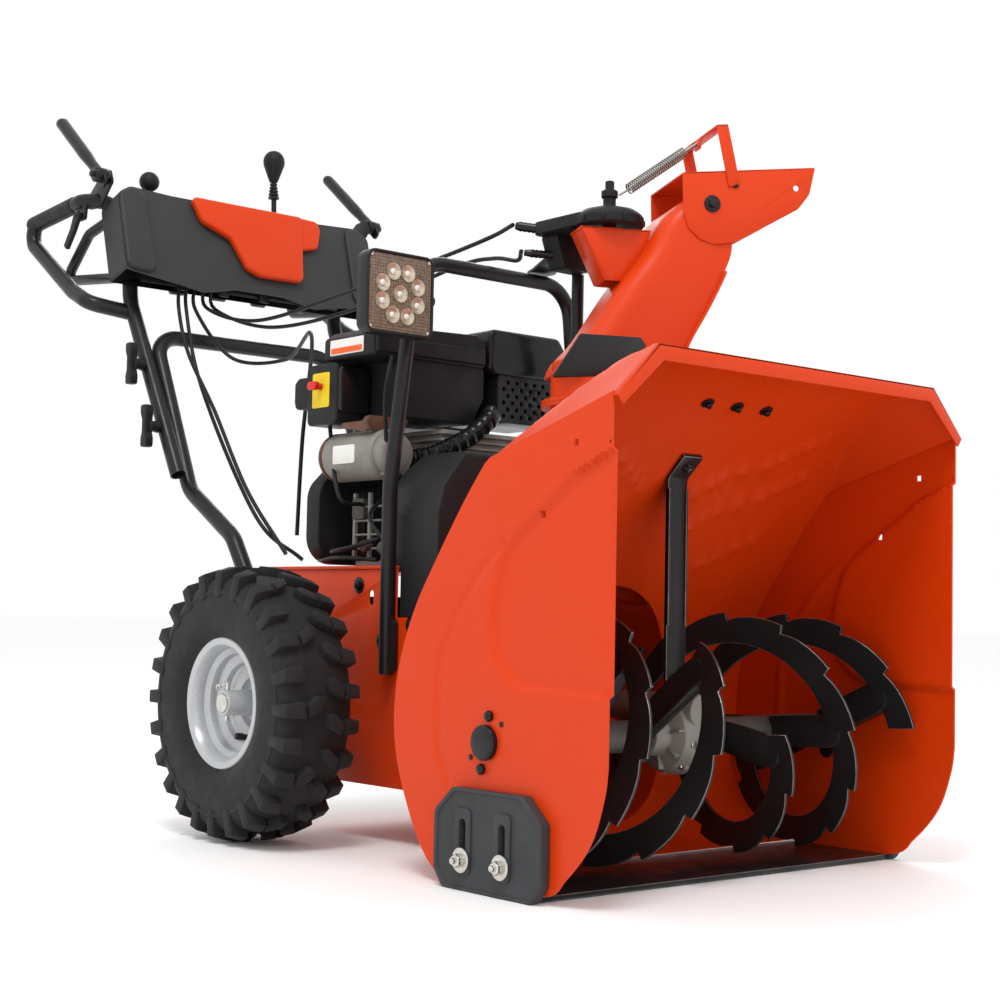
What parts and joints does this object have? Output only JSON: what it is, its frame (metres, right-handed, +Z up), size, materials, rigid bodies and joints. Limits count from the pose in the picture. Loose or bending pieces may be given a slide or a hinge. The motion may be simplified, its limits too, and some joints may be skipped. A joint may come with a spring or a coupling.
{
  "type": "two-stage snowblower",
  "caption": "Walk-behind auger-and-impeller snowblower: wide steel housing, turning chute with deflector, engine on a wheeled frame, folding handlebar with console.",
  "frame": {"origin": "on the ground under the middle of the whole machine's box, between the wheels and the housing", "axes": "+Y towards the operator, +Z up, +X towards the operator's left; the housing's mouth faces -Y"},
  "size_m": [0.714, 1.4981, 1.1305],
  "materials": {
    "orange": "gloss orange powder coat",
    "black_steel": "black paint on steel",
    "black_plastic": "moulded black plastic, fine grain",
    "dark_grey": "moulded dark grey plastic, fine grain",
    "rubber": "black rubber",
    "tyre": "matt black tread rubber",
    "cast_alloy": "as-cast, lightly shot-blasted",
    "steel": "bare turned and zinc-plated steel",
    "rim_grey": "light grey enamel",
    "lens": "prismatic clear lens over warm reflectors",
    "red": "red moulded plastic"
  },
  "bodies": {
    "chassis": {"housing_wrap": "orange", "side_plate_right": "orange", "side_plate_left": "orange", "scraper_bar": "black_steel", "impeller_housing": "orange", "gearbox_case": "cast_alloy", "gearbox_strap": "black_steel", "drive_frame": "orange", "transmission": "black_steel", "auger_belt": "rubber", "belt_cover": "dark_grey", "engine_block": "cast_alloy", "starter_motor": "cast_alloy", "recoil_cover": "black_plastic", "air_box": "black_plastic", "carburettor_cover": "black_plastic", "muffler": "black_steel", "fuel_tank": "black_plastic", "light_bar": "black_steel", "lamp_bracket": "black_steel", "chute_head": "black_plastic", "chute_post": "black_steel", "lower_handle": "black_steel", "upper_handle_right": "black_steel", "upper_handle_left": "black_steel", "console": "dark_grey", "console_cover": "orange", "control_cables": "black_plastic"},
    "auger": {"auger_right": "black_steel", "auger_left": "black_steel", "auger_shaft": "steel"},
    "impeller_line": {"impeller": "black_steel", "impeller_shaft": "steel"},
    "wheel_right": {"rim_right": "rim_grey", "tyre_right": "tyre", "axle_right": "steel"},
    "wheel_left": {"rim_left": "rim_grey", "tyre_left": "tyre", "axle_left": "steel"},
    "chute_assembly": {"chute": "orange", "deflector_spring": "steel"},
    "deflector_hood": {"deflector": "orange"},
    "shoe_right": {"skid_shoe_right": "dark_grey"},
    "shoe_left": {"skid_shoe_left": "dark_grey"},
    "lamp": {"lamp_head": "cast_alloy", "lamp_lens": "lens"},
    "lever_right": {"clutch_lever_right": "black_plastic"},
    "lever_left": {"clutch_lever_left": "black_plastic"},
    "trigger_right": {"steering_trigger_right": "black_plastic"},
    "trigger_left": {"steering_trigger_left": "black_plastic"},
    "speed_stick": {"speed_lever": "black_plastic"},
    "chute_stick": {"chute_lever": "black_plastic"},
    "knob_upper_right": {"upper_knob_right": "black_plastic"},
    "knob_upper_left": {"upper_knob_left": "black_plastic"},
    "knob_lower_right": {"lower_knob_right": "black_plastic"},
    "knob_lower_left": {"lower_knob_left": "black_plastic"},
    "tank_cap": {"fuel_cap": "black_plastic"},
    "starter_grip": {"recoil_handle": "black_plastic"},
    "key": {"ignition_key": "red"},
    "crank": {"crank_pulley": "steel"}
  },
  "joints": [
    {"name": "auger_spin", "type": "hinge", "parent": "chassis", "child": "auger", "pos_m": [0, -0.5445, 0.166], "axis": [1, 0, 0], "continuous": true},
    {"name": "impeller_spin", "type": "hinge", "parent": "chassis", "child": "impeller_line", "pos_m": [0, -0.3, 0.196], "axis": [0, 1, 0], "continuous": true},
    {"name": "wheel_right_spin", "type": "hinge", "parent": "chassis", "child": "wheel_right", "pos_m": [-0.3, -0.0445, 0.184], "axis": [1, 0, 0], "continuous": true},
    {"name": "wheel_left_spin", "type": "hinge", "parent": "chassis", "child": "wheel_left", "pos_m": [0.3, -0.0445, 0.184], "axis": [1, 0, 0], "continuous": true},
    {"name": "chute_rotate", "type": "hinge", "parent": "chassis", "child": "chute_assembly", "pos_m": [0.01, -0.402, 0.7], "axis": [0, 0, 1], "range_deg": [-160.5, 33.5]},
    {"name": "deflector_tilt", "type": "hinge", "parent": "chute_assembly", "child": "deflector_hood", "pos_m": [0.1174, -0.45555, 0.85], "axis": [0.4462, 0.8949, 0], "range_deg": [0, 55], "deforming": ["deflector_spring"]},
    {"name": "shoe_right_height", "type": "slide", "parent": "chassis", "child": "shoe_right", "axis": [0, 0, 1], "range_m": [-0.04, 0]},
    {"name": "shoe_left_height", "type": "slide", "parent": "chassis", "child": "shoe_left", "axis": [0, 0, 1], "range_m": [-0.04, 0]},
    {"name": "lamp_tilt", "type": "hinge", "parent": "chassis", "child": "lamp", "pos_m": [-0.154, -0.212, 0.726], "axis": [1, 0, 0], "range_deg": [-20, 20]},
    {"name": "drive_lever_press", "type": "hinge", "parent": "chassis", "child": "lever_right", "pos_m": [-0.272, 0.496, 1.006], "axis": [1, 0, 0], "range_deg": [-36, 0], "stiffness_Nm_per_rad": 1.5, "springref_deg": 20.05},
    {"name": "auger_lever_press", "type": "hinge", "parent": "chassis", "child": "lever_left", "pos_m": [0.272, 0.496, 1.006], "axis": [1, 0, 0], "range_deg": [-36, 0], "stiffness_Nm_per_rad": 1.5, "springref_deg": 20.05},
    {"name": "steering_right_squeeze", "type": "hinge", "parent": "chassis", "child": "trigger_right", "pos_m": [-0.279, 0.557, 0.948], "axis": [1, 0, 0], "range_deg": [0, 20], "stiffness_Nm_per_rad": 0.4, "springref_deg": -17.19},
    {"name": "steering_left_squeeze", "type": "hinge", "parent": "chassis", "child": "trigger_left", "pos_m": [0.279, 0.557, 0.948], "axis": [1, 0, 0], "range_deg": [0, 20], "stiffness_Nm_per_rad": 0.4, "springref_deg": -17.19},
    {"name": "speed_select", "type": "hinge", "parent": "chassis", "child": "speed_stick", "pos_m": [-0.169, 0.507, 0.935], "axis": [1, 0, 0], "range_deg": [-11, 18]},
    {"name": "chute_stick_lean", "type": "hinge", "parent": "chassis", "child": "chute_stick", "pos_m": [0.072, 0.51, 0.935], "axis": [0, 1, 0], "range_deg": [-25, 6]},
    {"name": "knob_upper_right_turn", "type": "hinge", "parent": "chassis", "child": "knob_upper_right", "pos_m": [-0.231, 0.434, 0.696], "axis": [1, 0, 0], "continuous": true},
    {"name": "knob_upper_left_turn", "type": "hinge", "parent": "chassis", "child": "knob_upper_left", "pos_m": [0.231, 0.434, 0.696], "axis": [1, 0, 0], "continuous": true},
    {"name": "knob_lower_right_turn", "type": "hinge", "parent": "chassis", "child": "knob_lower_right", "pos_m": [-0.231, 0.378, 0.592], "axis": [1, 0, 0], "continuous": true},
    {"name": "knob_lower_left_turn", "type": "hinge", "parent": "chassis", "child": "knob_lower_left", "pos_m": [0.231, 0.378, 0.592], "axis": [1, 0, 0], "continuous": true},
    {"name": "tank_cap_turn", "type": "hinge", "parent": "chassis", "child": "tank_cap", "pos_m": [0.026, 0.056, 0.687], "axis": [0, 0, 1], "range_deg": [0, 90]},
    {"name": "starter_grip_pull", "type": "slide", "parent": "chassis", "child": "starter_grip", "axis": [0, 1, 0], "range_m": [0, 0.45], "stiffness_N_per_m": 20, "springref_m": -0.3},
    {"name": "key_pull", "type": "slide", "parent": "chassis", "child": "key", "axis": [-1, 0, 0], "range_m": [0, 0.012]},
    {"name": "crank_spin", "type": "hinge", "parent": "chassis", "child": "crank", "pos_m": [0, -0.2, 0.437], "axis": [0, 1, 0], "continuous": true}
  ],
  "couplings": [
    {"joint": "impeller_spin", "follows": "auger_spin", "ratio": 20},
    {"joint": "chute_stick_lean", "follows": "chute_rotate", "ratio": 0.15}
  ]
}
